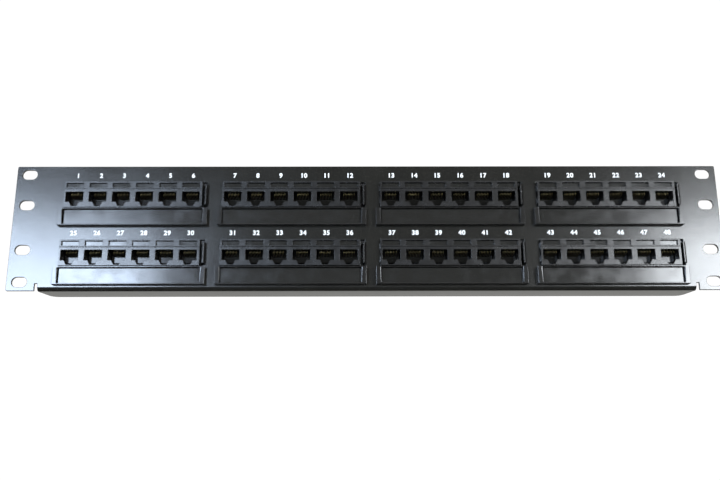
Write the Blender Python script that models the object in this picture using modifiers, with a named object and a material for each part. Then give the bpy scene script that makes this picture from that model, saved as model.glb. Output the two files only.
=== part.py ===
"""A 48-port rack-mount patch panel, 19 inches wide and two rack units high.

A bent steel face plate carries eight six-port modules in two rows of four. Each module is a
moulded jack housing that passes through a window in the plate, a sprung latch arm that holds
it there, a contact carrier behind its jacks, a circuit board and a punch-down block. A label
holder with its strip is pegged to the plate under each module.

Metres. +X is along the panel, +Z is up and the jacks face -Y. The origin is the middle of the
plane where the ears bear on the rack rails: y = 0 is the plate's rear face.
"""
import math

import bmesh
import bpy
from mathutils import Matrix

# Face plate, to the 19-inch rack standard
PANEL_WIDTH = 0.4826
PANEL_HEIGHT = 0.0881
SHEET = 0.0020
CORNER_RADIUS = 0.0010
BEND_RADIUS = 0.0031          # outside of the bend
FLANGE_DEPTH = 0.0196         # from the front face to the lip's rear edge
FLANGE_HALF = 0.2203          # half length of the lip at the bend
FLANGE_END_HALF = 0.2155      # half length of the lip at its rear edge
FLANGE_CORNER = 0.0045
RELIEF_WIDTH = 0.0020         # the cut between an ear and the bend
RELIEF_HEIGHT = 0.0050
SLOT_LENGTH = 0.0103
SLOT_HEIGHT = 0.0069
SLOT_X = 0.23256
SLOT_Z = (-0.0381, -0.015875, 0.015875, 0.0381)

# Layout of the modules
PORTS = 6                     # jacks in a module
PORT_PITCH = 0.015875
MODULE_PITCH = 0.10795
FIRST_MODULE_X = -0.1600
MODULES_PER_ROW = 4
ROW_Z = (0.02285, -0.018425)  # middle of each row's jack block

GAP = 0.0003                  # between pieces that touch
OVERLAP = 0.0005              # how far shapes that are joined run into each other
CLEAR = 0.0020                # how far a cutter runs past the face that it opens

# Jack housing, about the middle of its six jacks
BLOCK_LEFT = -0.0469
BLOCK_RIGHT = 0.0474
BLOCK_HALF = 0.0092           # half the height of the jack block
FACE_Y = -0.0053              # front of the jacks
HOUSING_BACK = 0.0137
RIM_LEFT = -0.0489            # rim that stops the housing behind the plate
RIM_RIGHT = 0.0479
RIM_HALF = 0.0109
RIM_THICK = 0.0020
RIM_EAR_RIGHT = 0.0525        # ears that close the window above and below the latch arm
RIM_EAR_FOOT = 0.0076
JACK_WIDTH = 0.0120
JACK_TOP = 0.00175
JACK_BOTTOM = -0.00545
KEYWAY_TOP_WIDTH = 0.0068     # the step below the jack for a plug's tab
KEYWAY_FOOT_WIDTH = 0.0037
KEYWAY_BOTTOM = -0.00855
ICON_BOTTOM = 0.00475         # recess for a snap-in icon above each jack
ICON_TOP = 0.0081
ICON_DEPTH = 0.0020
CEILING_TOP = 0.0040          # pocket in a jack's ceiling for its contacts
CEILING_FRONT = -0.0038
POCKET_FRONT = 0.0102         # pocket for the contact carrier
POCKET_BOTTOM = -0.0082
POCKET_TOP = 0.0049
LIP_WIDTH = 0.0007            # catches on the left edge of the window
LIP_THICK = 0.0010
LIP_HEIGHT = 0.0040
LIP_Z = 0.0045
POST_X = 0.0380               # posts that locate the circuit board
POST_Z = 0.0071
POST_RADIUS = 0.0012
POST_LENGTH = 0.0015

# Window in the plate
WINDOW_LEFT = BLOCK_LEFT - GAP
WINDOW_RIGHT = 0.0507
WINDOW_HALF = BLOCK_HALF + GAP

# Latch arm and the bracket that it is rooted in
ARM_LEFT = 0.0492
ARM_THICK = 0.0012
ARM_HALF = 0.0073
ARM_TIP_Y = -0.0050
ARM_ROOT_Y = 0.0123
ARM_AXIS_Y = 0.0114
HOOK_REACH = 0.0011
HOOK_THICK = 0.0006
TIP_WIDTH = 0.0008
BRACKET_RIGHT = 0.0552
BRACKET_FRONT = 0.0096
BRACKET_BACK = 0.0136
BRACKET_HALF = 0.0109
BRACKET_WALL = 0.0010

# Contact carrier
CARRIER_BACK = 0.0134
TONGUE_BOTTOM = 0.00205
TONGUE_FRONT = -0.0030
STOP_FRONT = 0.0041           # wall that stops a plug

# Label holder and strip, about the middle of the holder
HOLDER_DROP = 0.0160          # below the middle of the jacks
HOLDER_LEFT = -0.0500
HOLDER_RIGHT = 0.0515
HOLDER_HALF = 0.0061
HOLDER_FRONT = -0.0060
HOLDER_FLOOR = -0.0030
END_CAP = 0.0034
TOP_LIP = 0.0006
BOTTOM_LIP = 0.0008
TAB_WIDTH = 0.0022
TAB_REACH = 0.0008
TAB_THICK = 0.0007
TAB_INSET = 0.0035
TAB_SET_BACK = 0.0002
STRIP_THICK = 0.0005
STRIP_END_GAP = 0.0006
PEG_X = 0.0355                # either side of the holder's middle
PEG_WIDTH = 0.0024
PEG_HEIGHT = 0.0036
PEG_BARB = 0.0007
PEG_BARB_Y = 0.0005
PEG_TIP_Y = 0.0024

# Circuit board
BOARD_LEFT = -0.0500
BOARD_RIGHT = 0.0510
BOARD_HALF = 0.0190
BOARD_THICK = 0.0016
BOARD_FRONT = HOUSING_BACK + GAP
BOARD_CORNER = 0.0015

# Punch-down block
IDC_HALF_LENGTH = 0.0475
IDC_BASE_HALF = 0.0170
IDC_BASE_THICK = 0.0035
IDC_FRONT = BOARD_FRONT + BOARD_THICK + GAP
IDC_BACK = 0.0324
RAIL_Z = 0.0095
RAIL_HALF = 0.0040
RAIL_INSET = 0.0005           # from the ends of the base
PAIRS = 12                    # notches in one rail
PAIR_PITCH = 0.00762
NOTCH_WIDTH = 0.0026
NOTCH_DEPTH = 0.0070

SLOT_SIDES = 16               # flats round both ends of a rack slot
POST_SIDES = 8
BEND_STEPS = 5
CORNER_STEPS = 4


def clear_scene():
    """Remove everything, so that the script can be run again."""
    for obj in list(bpy.data.objects):
        bpy.data.objects.remove(obj, do_unlink=True)
    for group in list(bpy.data.collections):
        bpy.data.collections.remove(group)


def collection(name):
    group = bpy.data.collections.new(name)
    bpy.context.scene.collection.children.link(group)
    return group


def material(name, colour, roughness, metallic=0.0):
    mat = bpy.data.materials.new(name)
    mat.use_nodes = True
    shader = mat.node_tree.nodes["Principled BSDF"]
    shader.inputs["Base Color"].default_value = (*colour, 1.0)
    shader.inputs["Roughness"].default_value = roughness
    shader.inputs["Metallic"].default_value = metallic
    return mat


def mesh_object(name, mesh, group):
    obj = bpy.data.objects.new(name, mesh)
    group.objects.link(obj)
    return obj


def boxes(name, corners, group):
    """One mesh of separate boxes, each from its lowest and highest corner."""
    bm = bmesh.new()
    for low, high in corners:
        size = [h - l for l, h in zip(low, high)]
        middle = [(h + l) / 2 for l, h in zip(low, high)]
        place = Matrix.Translation(middle) @ Matrix.Diagonal((*size, 1.0))
        bmesh.ops.create_cube(bm, size=1.0, matrix=place)
    mesh = bpy.data.meshes.new(name)
    bm.to_mesh(mesh)
    bm.free()
    return mesh_object(name, mesh, group)


def cylinders(name, centres, radius, depth, group):
    """One mesh of separate cylinders along Y, about each of the centres."""
    bm = bmesh.new()
    turn = Matrix.Rotation(math.pi / 2, 4, "X")
    for centre in centres:
        bmesh.ops.create_cone(
            bm, cap_ends=True, segments=POST_SIDES, radius1=radius, radius2=radius,
            depth=depth, matrix=Matrix.Translation(centre) @ turn,
        )
    mesh = bpy.data.meshes.new(name)
    bm.to_mesh(mesh)
    bm.free()
    return mesh_object(name, mesh, group)


def prisms(name, outline, depth, places, group):
    """One mesh of copies of a flat outline, drawn in local XY and given a depth along Z."""
    curve = bpy.data.curves.new(name, "CURVE")
    curve.dimensions = "2D"
    curve.fill_mode = "BOTH"
    curve.extrude = depth / 2
    spline = curve.splines.new("POLY")
    spline.points.add(len(outline) - 1)
    for point, (x, y) in zip(spline.points, outline):
        point.co = (x, y, 0.0, 1.0)
    spline.use_cyclic_u = True
    drawn = mesh_object(name + "_outline", curve, group)
    bpy.context.view_layer.update()
    solid = bpy.data.meshes.new_from_object(drawn.evaluated_get(bpy.context.evaluated_depsgraph_get()))
    bpy.data.objects.remove(drawn, do_unlink=True)
    bm = bmesh.new()
    for place in places:
        old = set(bm.verts)
        bm.from_mesh(solid)
        fresh = [v for v in bm.verts if v not in old]
        bmesh.ops.transform(bm, matrix=place, verts=fresh)
    bmesh.ops.remove_doubles(bm, verts=bm.verts, dist=1e-6)
    bmesh.ops.recalc_face_normals(bm, faces=bm.faces)
    mesh = bpy.data.meshes.new(name)
    bm.to_mesh(mesh)
    bm.free()
    return mesh_object(name, mesh, group)


def facing_front(x, y, z):
    """Places an outline so that its X is the panel's X, its Y is up and its depth is along Y."""
    return Matrix.Translation((x, y, z)) @ Matrix.Rotation(math.pi / 2, 4, "X")


def combine(obj, tool, operation):
    """Add or cut away another shape with an exact Boolean that stays on the object."""
    tool.hide_render = True
    tool.display_type = "WIRE"
    step = obj.modifiers.new(operation.lower() + "_" + tool.name, "BOOLEAN")
    step.operation = operation
    step.solver = "EXACT"
    step.object = tool


def final_mesh(obj, tools):
    """The evaluated mesh of a worked shape; the shape and its tools are then removed."""
    bpy.context.view_layer.update()
    mesh = bpy.data.meshes.new_from_object(obj.evaluated_get(bpy.context.evaluated_depsgraph_get()))
    mesh.name = obj.name
    for used in [obj, *tools]:
        bpy.data.objects.remove(used, do_unlink=True)
    return mesh


def port_x(port):
    return (port - (PORTS - 1) / 2) * PORT_PITCH


def module_places():
    """The middle of the jacks of each module: the upper row first, left to right."""
    return [
        (FIRST_MODULE_X + column * MODULE_PITCH, 0.0, z)
        for z in ROW_Z
        for column in range(MODULES_PER_ROW)
    ]


def holder_middle():
    return (HOLDER_LEFT + HOLDER_RIGHT) / 2


def sheet_metal():
    """The plate's front skin with its lip, as one open surface that Solidify makes 2 mm thick."""
    half = PANEL_WIDTH / 2
    ear = FLANGE_HALF + RELIEF_WIDTH
    columns = (-half, -ear, -FLANGE_HALF, FLANGE_HALF, ear, half)
    top = PANEL_HEIGHT / 2
    relief = RELIEF_HEIGHT - top
    bm = bmesh.new()
    rows = [[bm.verts.new((x, -SHEET, z)) for x in columns] for z in (top, relief)]
    for i in range(len(columns) - 1):
        bm.faces.new((rows[1][i], rows[1][i + 1], rows[0][i + 1], rows[0][i]))

    def extrude(edge, steps):
        """Extend the sheet from one of its lower edges along a list of moves."""
        for move in steps:
            out = bmesh.ops.extrude_edge_only(bm, edges=[edge])["geom"]
            edge = next(g for g in out if isinstance(g, bmesh.types.BMEdge))
            bmesh.ops.translate(bm, vec=move, verts=edge.verts)
        return edge

    def lower_edge(i):
        return bm.edges.get((rows[1][i], rows[1][i + 1]))

    for i in (0, len(columns) - 2):
        extrude(lower_edge(i), [(0, 0, -RELIEF_HEIGHT)])
    arc = [
        (BEND_RADIUS * (1 - math.cos(a)), BEND_RADIUS * (1 - math.sin(a)))
        for a in (i * math.pi / 2 / BEND_STEPS for i in range(BEND_STEPS + 1))
    ]
    moves = [(0, 0, BEND_RADIUS - RELIEF_HEIGHT)]
    moves += [(0, b[0] - a[0], b[1] - a[1]) for a, b in zip(arc, arc[1:])]
    moves += [(0, FLANGE_DEPTH - BEND_RADIUS, 0)]
    end = extrude(lower_edge(len(columns) // 2 - 1), moves)
    for v in end.verts:
        v.co.x = math.copysign(FLANGE_END_HALF, v.co.x)

    def round_corners(verts, radius):
        bmesh.ops.bevel(
            bm, geom=verts, affect="VERTICES", offset=radius, segments=CORNER_STEPS, profile=0.5
        )

    round_corners(list(end.verts), FLANGE_CORNER)
    corners = [v for v in bm.verts if abs(v.co.x) > half - GAP and abs(v.co.z) > top - GAP]
    round_corners(corners, CORNER_RADIUS)
    bmesh.ops.recalc_face_normals(bm, faces=bm.faces)
    mesh = bpy.data.meshes.new("face_plate")
    bm.to_mesh(mesh)
    bm.free()
    return mesh


def obround(length, height):
    """The outline of a slot with round ends."""
    radius = height / 2 / math.cos(math.pi / SLOT_SIDES)
    reach = (length - height) / 2
    turn = [(i + 0.5) * 2 * math.pi / SLOT_SIDES for i in range(SLOT_SIDES)]
    return [(math.copysign(reach, math.cos(a)) + radius * math.cos(a), radius * math.sin(a)) for a in turn]


def make_plate(parts, tools):
    plate = mesh_object("face_plate", sheet_metal(), parts)
    thick = plate.modifiers.new("sheet", "SOLIDIFY")
    thick.thickness = SHEET
    thick.offset = -1.0
    thick.use_even_offset = True
    front, back = -SHEET - CLEAR, CLEAR
    windows = boxes(
        "window_cutter",
        [
            ((x + WINDOW_LEFT, front, z - WINDOW_HALF), (x + WINDOW_RIGHT, back, z + WINDOW_HALF))
            for x, _, z in module_places()
        ],
        tools,
    )
    wide, high = PEG_WIDTH / 2 + GAP, PEG_HEIGHT / 2 + GAP
    pegs = boxes(
        "peg_hole_cutter",
        [
            ((px - wide, front, z - HOLDER_DROP - high), (px + wide, back, z - HOLDER_DROP + high))
            for x, _, z in module_places()
            for px in (x + holder_middle() - PEG_X, x + holder_middle() + PEG_X)
        ],
        tools,
    )
    slots = prisms(
        "rack_slot_cutter",
        obround(SLOT_LENGTH, SLOT_HEIGHT),
        back - front,
        [facing_front(side * SLOT_X, -SHEET / 2, z) for side in (-1, 1) for z in SLOT_Z],
        tools,
    )
    for tool in (windows, pegs, slots):
        combine(plate, tool, "DIFFERENCE")
    return plate


def housing_mesh(tools):
    """Jack housing: a block with six jacks, a stop rim, left lips, posts and the latch's bracket."""
    shell = boxes(
        "jack_housing", [((BLOCK_LEFT, FACE_Y, -BLOCK_HALF), (BLOCK_RIGHT, HOUSING_BACK, BLOCK_HALF))], tools
    )
    rim = boxes("rim", [((RIM_LEFT, GAP, -RIM_HALF), (RIM_RIGHT, GAP + RIM_THICK, RIM_HALF))], tools)
    ears = boxes(
        "ears",
        [
            ((RIM_RIGHT - OVERLAP, GAP, low), (RIM_EAR_RIGHT, GAP + RIM_THICK, high))
            for low, high in ((-RIM_HALF, -RIM_EAR_FOOT), (RIM_EAR_FOOT, RIM_HALF))
        ],
        tools,
    )
    lip_back = -SHEET - GAP
    lips = boxes(
        "lips",
        [
            (
                (BLOCK_LEFT - LIP_WIDTH, lip_back - LIP_THICK, z - LIP_HEIGHT / 2),
                (BLOCK_LEFT + OVERLAP, lip_back, z + LIP_HEIGHT / 2),
            )
            for z in (-LIP_Z, LIP_Z)
        ],
        tools,
    )
    bracket = boxes(
        "bracket",
        [
            (
                (BLOCK_RIGHT - OVERLAP, BRACKET_FRONT, -BRACKET_HALF),
                (BRACKET_RIGHT, BRACKET_BACK, BRACKET_HALF),
            )
        ],
        tools,
    )
    posts = cylinders(
        "posts",
        [(side * POST_X, HOUSING_BACK, POST_Z) for side in (-1, 1)],
        POST_RADIUS,
        2 * POST_LENGTH,
        tools,
    )
    root_slot = boxes(
        "root_slot",
        [
            (
                (ARM_LEFT - GAP, BRACKET_FRONT - CLEAR, -BLOCK_HALF),
                (ARM_LEFT + ARM_THICK + GAP, BRACKET_BACK - BRACKET_WALL, BLOCK_HALF),
            )
        ],
        tools,
    )
    keyway = [
        (-JACK_WIDTH / 2, JACK_TOP),
        (-JACK_WIDTH / 2, JACK_BOTTOM),
        (-KEYWAY_TOP_WIDTH / 2, JACK_BOTTOM),
        (-KEYWAY_FOOT_WIDTH / 2, KEYWAY_BOTTOM),
        (KEYWAY_FOOT_WIDTH / 2, KEYWAY_BOTTOM),
        (KEYWAY_TOP_WIDTH / 2, JACK_BOTTOM),
        (JACK_WIDTH / 2, JACK_BOTTOM),
        (JACK_WIDTH / 2, JACK_TOP),
    ]
    front, back = FACE_Y - CLEAR, POCKET_FRONT + OVERLAP
    jacks = prisms(
        "jacks",
        keyway,
        back - front,
        [facing_front(port_x(p), (front + back) / 2, 0) for p in range(PORTS)],
        tools,
    )
    ceilings = boxes(
        "ceilings",
        [
            (
                (port_x(p) - JACK_WIDTH / 2, CEILING_FRONT, JACK_TOP - OVERLAP),
                (port_x(p) + JACK_WIDTH / 2, back, CEILING_TOP),
            )
            for p in range(PORTS)
        ],
        tools,
    )
    icons = boxes(
        "icons",
        [
            (
                (port_x(p) - JACK_WIDTH / 2, front, ICON_BOTTOM),
                (port_x(p) + JACK_WIDTH / 2, FACE_Y + ICON_DEPTH, ICON_TOP),
            )
            for p in range(PORTS)
        ],
        tools,
    )
    end = port_x(PORTS - 1) + JACK_WIDTH / 2
    pocket = boxes(
        "pocket",
        [((-end, POCKET_FRONT, POCKET_BOTTOM), (end, HOUSING_BACK + CLEAR, POCKET_TOP))],
        tools,
    )
    added = [rim, ears, lips, bracket, posts]
    cut = [root_slot, jacks, ceilings, icons, pocket]
    for tool in added:
        combine(shell, tool, "UNION")
    for tool in cut:
        combine(shell, tool, "DIFFERENCE")
    return final_mesh(shell, added + cut)


def latch_mesh(tools):
    """Latch arm about its hinge axis: a thin leaf with a hook that catches the window's edge."""
    right = ARM_THICK / 2
    hook_y = -SHEET - GAP - ARM_AXIS_Y
    tip_y = ARM_TIP_Y - ARM_AXIS_Y
    root_y = ARM_ROOT_Y - ARM_AXIS_Y
    outline = [
        (-right, root_y),
        (-right, tip_y),
        (-right + TIP_WIDTH, tip_y),
        (right + HOOK_REACH, hook_y - HOOK_THICK),
        (right + HOOK_REACH, hook_y),
        (right, hook_y),
        (right, root_y),
    ]
    arm = prisms("latch_arm", outline, 2 * ARM_HALF, [Matrix.Identity(4)], tools)
    return final_mesh(arm, [])


def carrier_mesh(tools):
    """Contact carrier: a bar behind the six jacks with a tongue over each and a stop in each."""
    end = port_x(PORTS - 1) + JACK_WIDTH / 2 - GAP
    bar = boxes(
        "contact_carrier",
        [((-end, POCKET_FRONT + GAP, POCKET_BOTTOM + GAP), (end, CARRIER_BACK, POCKET_TOP - GAP))],
        tools,
    )
    tongues = boxes(
        "tongues",
        [
            (
                (port_x(p) - JACK_WIDTH / 2 + 2 * GAP, TONGUE_FRONT, TONGUE_BOTTOM),
                (port_x(p) + JACK_WIDTH / 2 - 2 * GAP, POCKET_FRONT + GAP + OVERLAP, CEILING_TOP - GAP),
            )
            for p in range(PORTS)
        ],
        tools,
    )
    stops = boxes(
        "stops",
        [
            (
                (port_x(p) - JACK_WIDTH / 2 + 2 * GAP, STOP_FRONT, JACK_BOTTOM + GAP),
                (
                    port_x(p) + JACK_WIDTH / 2 - 2 * GAP,
                    POCKET_FRONT + GAP + OVERLAP,
                    TONGUE_BOTTOM + OVERLAP,
                ),
            )
            for p in range(PORTS)
        ],
        tools,
    )
    for tool in (tongues, stops):
        combine(bar, tool, "UNION")
    return final_mesh(bar, [tongues, stops])


def holder_mesh(tools):
    """Label holder: a shallow tray with lips, six retaining tabs and two barbed pegs."""
    back = -SHEET - GAP
    tray = boxes(
        "label_holder",
        [((HOLDER_LEFT, HOLDER_FRONT, -HOLDER_HALF), (HOLDER_RIGHT, back, HOLDER_HALF))],
        tools,
    )
    recess = boxes(
        "recess",
        [
            (
                (HOLDER_LEFT + END_CAP, HOLDER_FRONT - CLEAR, -HOLDER_HALF + BOTTOM_LIP),
                (HOLDER_RIGHT - END_CAP, HOLDER_FLOOR, HOLDER_HALF - TOP_LIP),
            )
        ],
        tools,
    )
    first = HOLDER_LEFT + END_CAP + TAB_INSET
    last = HOLDER_RIGHT - END_CAP - TAB_INSET
    front = HOLDER_FRONT + TAB_SET_BACK
    tabs = []
    for x in (first, (first + last) / 2, last):
        for edge, inward in ((HOLDER_HALF - TOP_LIP, -1), (-HOLDER_HALF + BOTTOM_LIP, 1)):
            low, high = sorted((edge - inward * TOP_LIP / 2, edge + inward * TAB_REACH))
            tabs.append(((x - TAB_WIDTH / 2, front, low), (x + TAB_WIDTH / 2, front + TAB_THICK, high)))
    catches = boxes("tabs", tabs, tools)
    barb = PEG_WIDTH / 2 + PEG_BARB
    outline = [
        (-PEG_WIDTH / 2, back - OVERLAP),
        (PEG_WIDTH / 2, back - OVERLAP),
        (PEG_WIDTH / 2, GAP),
        (barb, PEG_BARB_Y),
        (PEG_WIDTH / 4, PEG_TIP_Y),
        (-PEG_WIDTH / 4, PEG_TIP_Y),
        (-barb, PEG_BARB_Y),
        (-PEG_WIDTH / 2, GAP),
    ]
    pegs = prisms(
        "pegs",
        outline,
        PEG_HEIGHT,
        [Matrix.Translation((holder_middle() + side * PEG_X, 0, 0)) for side in (-1, 1)],
        tools,
    )
    combine(tray, recess, "DIFFERENCE")
    combine(tray, catches, "UNION")
    combine(tray, pegs, "UNION")
    return final_mesh(tray, [recess, catches, pegs])


def strip_mesh(tools):
    """Label strip: a thin plate that lies on the holder's floor under its tabs."""
    strip = boxes(
        "label_strip",
        [
            (
                (
                    HOLDER_LEFT + END_CAP + STRIP_END_GAP,
                    HOLDER_FLOOR - GAP - STRIP_THICK,
                    -HOLDER_HALF + BOTTOM_LIP + GAP,
                ),
                (HOLDER_RIGHT - END_CAP - STRIP_END_GAP, HOLDER_FLOOR - GAP, HOLDER_HALF - TOP_LIP - GAP),
            )
        ],
        tools,
    )
    return final_mesh(strip, [])


def board_mesh(tools):
    """Circuit board with rounded corners and two holes for the housing's posts."""
    middle = (BOARD_LEFT + BOARD_RIGHT) / 2
    half = (BOARD_RIGHT - BOARD_LEFT) / 2 - BOARD_CORNER
    rise = BOARD_HALF - BOARD_CORNER
    outline = []
    for i, (sx, sz) in enumerate(((1, 1), (-1, 1), (-1, -1), (1, -1))):
        for j in range(CORNER_STEPS + 1):
            angle = (i + j / CORNER_STEPS) * math.pi / 2
            outline.append(
                (sx * half + BOARD_CORNER * math.cos(angle), sz * rise + BOARD_CORNER * math.sin(angle))
            )
    board = prisms(
        "circuit_board",
        outline,
        BOARD_THICK,
        [facing_front(middle, BOARD_FRONT + BOARD_THICK / 2, 0)],
        tools,
    )
    holes = cylinders(
        "post_holes",
        [(side * POST_X, BOARD_FRONT + BOARD_THICK / 2, POST_Z) for side in (-1, 1)],
        POST_RADIUS + GAP,
        BOARD_THICK + 2 * CLEAR,
        tools,
    )
    combine(board, holes, "DIFFERENCE")
    return final_mesh(board, [holes])


def idc_mesh(tools):
    """Punch-down block: a base with two notched rails along it."""
    base_back = IDC_FRONT + IDC_BASE_THICK
    base = boxes(
        "idc_block",
        [((-IDC_HALF_LENGTH, IDC_FRONT, -IDC_BASE_HALF), (IDC_HALF_LENGTH, base_back, IDC_BASE_HALF))],
        tools,
    )
    rails = boxes(
        "rails",
        [
            (
                (-IDC_HALF_LENGTH + RAIL_INSET, base_back - OVERLAP, z - RAIL_HALF),
                (IDC_HALF_LENGTH - RAIL_INSET, IDC_BACK, z + RAIL_HALF),
            )
            for z in (-RAIL_Z, RAIL_Z)
        ],
        tools,
    )
    notches = boxes(
        "notches",
        [
            (
                (x - NOTCH_WIDTH / 2, IDC_BACK - NOTCH_DEPTH, -IDC_BASE_HALF),
                (x + NOTCH_WIDTH / 2, IDC_BACK + CLEAR, IDC_BASE_HALF),
            )
            for x in ((i - (PAIRS - 1) / 2) * PAIR_PITCH for i in range(PAIRS))
        ],
        tools,
    )
    combine(base, rails, "UNION")
    combine(base, notches, "DIFFERENCE")
    return final_mesh(base, [rails, notches])


def finish_mesh(mesh, surface):
    """One material, and smooth shading that keeps edges over 30 degrees sharp."""
    mesh.materials.clear()
    mesh.materials.append(surface)
    mesh.shade_smooth()
    mesh.set_sharp_from_angle(angle=math.radians(30))


def main():
    clear_scene()
    parts = collection("patch_panel")
    tools = collection("cutters")
    coated_steel = material("coated_steel", (0.030, 0.030, 0.029), 0.45)
    black_plastic = material("black_plastic", (0.018, 0.018, 0.018), 0.35)
    strip_plastic = material("strip_plastic", (0.012, 0.013, 0.014), 0.15)
    carrier_plastic = material("carrier_plastic", (0.022, 0.020, 0.018), 0.55)
    board_laminate = material("board_laminate", (0.020, 0.110, 0.045), 0.40)
    idc_plastic = material("idc_plastic", (0.640, 0.640, 0.610), 0.45)

    finish_mesh(make_plate(parts, tools).data, coated_steel)
    # a module's pieces by name, each with its mesh, material and place about the jacks' middle
    pieces = (
        ("jack_housing", housing_mesh(tools), black_plastic, (0, 0, 0)),
        ("latch_arm", latch_mesh(tools), black_plastic, (ARM_LEFT + ARM_THICK / 2, ARM_AXIS_Y, 0)),
        ("contact_carrier", carrier_mesh(tools), carrier_plastic, (0, 0, 0)),
        ("circuit_board", board_mesh(tools), board_laminate, (0, 0, 0)),
        ("idc_block", idc_mesh(tools), idc_plastic, (0, 0, 0)),
        ("label_holder", holder_mesh(tools), black_plastic, (0, 0, -HOLDER_DROP)),
        ("label_strip", strip_mesh(tools), strip_plastic, (0, 0, -HOLDER_DROP)),
    )
    for _, mesh, surface, _ in pieces:
        finish_mesh(mesh, surface)
    for number, place in enumerate(module_places(), start=1):
        module = mesh_object(f"module_{number}", None, parts)
        module.location = place
        for name, mesh, _, offset in pieces:
            piece = mesh_object(f"{name}_{number}", mesh, parts)
            piece.parent = module
            piece.location = offset


main()
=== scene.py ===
"""Looks of a 48-port rack patch panel.

A powder-coated steel plate carries eight moulded six-port modules with gilt contact wires, sprung
latches, label holders, circuit boards and punch-down blocks. Metres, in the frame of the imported
model: +X is along the panel, +Z is up, the jacks face -Y, and y = 0 is the plate's rear face.
"""
import math

import bmesh
import bpy
from mathutils import Matrix, Vector


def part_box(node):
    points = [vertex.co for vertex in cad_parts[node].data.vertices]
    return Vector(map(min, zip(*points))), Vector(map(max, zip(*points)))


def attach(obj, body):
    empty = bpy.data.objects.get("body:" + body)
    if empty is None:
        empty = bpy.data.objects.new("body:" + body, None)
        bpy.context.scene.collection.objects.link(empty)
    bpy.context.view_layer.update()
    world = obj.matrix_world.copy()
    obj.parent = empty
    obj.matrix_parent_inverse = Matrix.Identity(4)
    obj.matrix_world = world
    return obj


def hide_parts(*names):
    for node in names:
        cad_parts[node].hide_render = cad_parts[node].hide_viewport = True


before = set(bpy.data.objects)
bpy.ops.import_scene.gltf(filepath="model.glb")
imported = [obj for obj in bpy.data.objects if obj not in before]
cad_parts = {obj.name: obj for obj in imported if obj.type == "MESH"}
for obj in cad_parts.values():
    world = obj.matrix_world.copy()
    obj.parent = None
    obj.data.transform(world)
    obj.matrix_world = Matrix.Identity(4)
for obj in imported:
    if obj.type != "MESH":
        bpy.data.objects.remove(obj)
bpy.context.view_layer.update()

MODULES = range(1, 1 + sum(name.startswith("circuit_board_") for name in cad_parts))
ROW_MODULES = len(MODULES) // 2
PORTS = 6                     # jacks in a module
PORT_PITCH = 0.015875
GAP = 0.0003                  # between pieces that touch
OVERLAP = 0.0005              # how far joined shapes run into each other
CLEAR = 0.0020                # how far a cutter runs past the face that it opens
SHARP = math.radians(35)      # edges that turn by more than this are rounded
WELD = 1e-6                   # points closer than this are one


# ---- Sizes: the outer ones come from the frame, and the others repeat the CAD model's -----------


def module_middle(number):
    """The middle of a module's six jacks, on the plate's rear face."""
    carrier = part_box(f"contact_carrier_{number}")
    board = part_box(f"circuit_board_{number}")
    return Vector(((carrier[0].x + carrier[1].x) / 2, 0.0, (board[0].z + board[1].z) / 2))


def local_box(kind):
    """The lowest and highest corner of a module's node, about the middle of its jacks."""
    low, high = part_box(f"{kind}_1")
    return low - module_middle(1), high - module_middle(1)


PLATE_LOW, PLATE_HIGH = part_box("face_plate")
HOUSING_LOW, HOUSING_HIGH = local_box("jack_housing")
CARRIER_LOW, CARRIER_HIGH = local_box("contact_carrier")
ARM_LOW, ARM_HIGH = local_box("latch_arm")
HOLDER_LOW, HOLDER_HIGH = local_box("label_holder")
STRIP_LOW, STRIP_HIGH = local_box("label_strip")
BOARD_LOW, BOARD_HIGH = local_box("circuit_board")
IDC_LOW, IDC_HIGH = local_box("idc_block")

# Plate
PLATE_FRONT = PLATE_LOW.y
SHEET = -PLATE_FRONT
BEND_RADIUS = 0.0031          # outside of the bend
BEND_STEPS = 12
FLANGE_HALF = 0.2203          # half length of the bent lip at the bend
FLANGE_END_HALF = 0.2155      # half length of the bent lip at its rear edge
FLANGE_CORNER = 0.0045
RELIEF_WIDTH = 0.0020         # the cut between an ear and the bend
RELIEF_HEIGHT = 0.0050
PLATE_CORNER = 0.0010
SLOT_LENGTH, SLOT_HEIGHT = 0.0103, 0.0069
SLOT_X = 0.23256
SLOT_Z = (-0.0381, -0.015875, 0.015875, 0.0381)
WINDOW = ((-0.0472, -0.0095), (0.0507, 0.0095))
WINDOW_CORNER = 0.0006
COAT_EDGE = 0.00028           # radius that the coating leaves on the sheet's edges

# Jack housing, about the middle of its six jacks
BLOCK_LEFT, BLOCK_RIGHT, BLOCK_HALF = -0.0469, 0.0474, 0.0092
FACE_Y = HOUSING_LOW.y        # front of the jacks
HOUSING_BACK = 0.0137
RIM_RIGHT, RIM_HALF, RIM_THICK = 0.0479, 0.0109, 0.0020  # rim that stops the housing
EAR_RIGHT, EAR_FOOT = 0.0525, 0.0076  # ears that close the window above and below the latch arm
JACK_HALF = 0.0060
JACK_TOP, JACK_BOTTOM = 0.00175, -0.00545
KEYWAY_TOP_HALF, KEYWAY_FOOT_HALF = 0.0034, 0.00185  # the step below a jack for a plug's tab
KEYWAY_BOTTOM = -0.00855
ICON_BOTTOM, ICON_TOP, ICON_DEPTH = 0.00475, 0.0081, 0.0020  # recess for the icon above a jack
ICON_THICK, ICON_INSET = 0.0005, 0.0001
RIDGE = 0.0004                # snap ridges on the recess's side walls
SEAM_Z, SEAM_WIDTH, SEAM_DEPTH = 0.0037, 0.00045, 0.0006  # groove between the jacks and the icons
CEILING_TOP, CEILING_FRONT = 0.0040, -0.0038  # pocket in a jack's ceiling for its contacts
POCKET_FRONT, POCKET_BOTTOM, POCKET_TOP = 0.0102, -0.0082, 0.0049  # for the contact carrier
LIP_WIDTH, LIP_THICK = 0.0007, 0.0010  # catches on the left edge of the window
LIP_HEIGHT, LIP_Z = 0.0040, 0.0045
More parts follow.
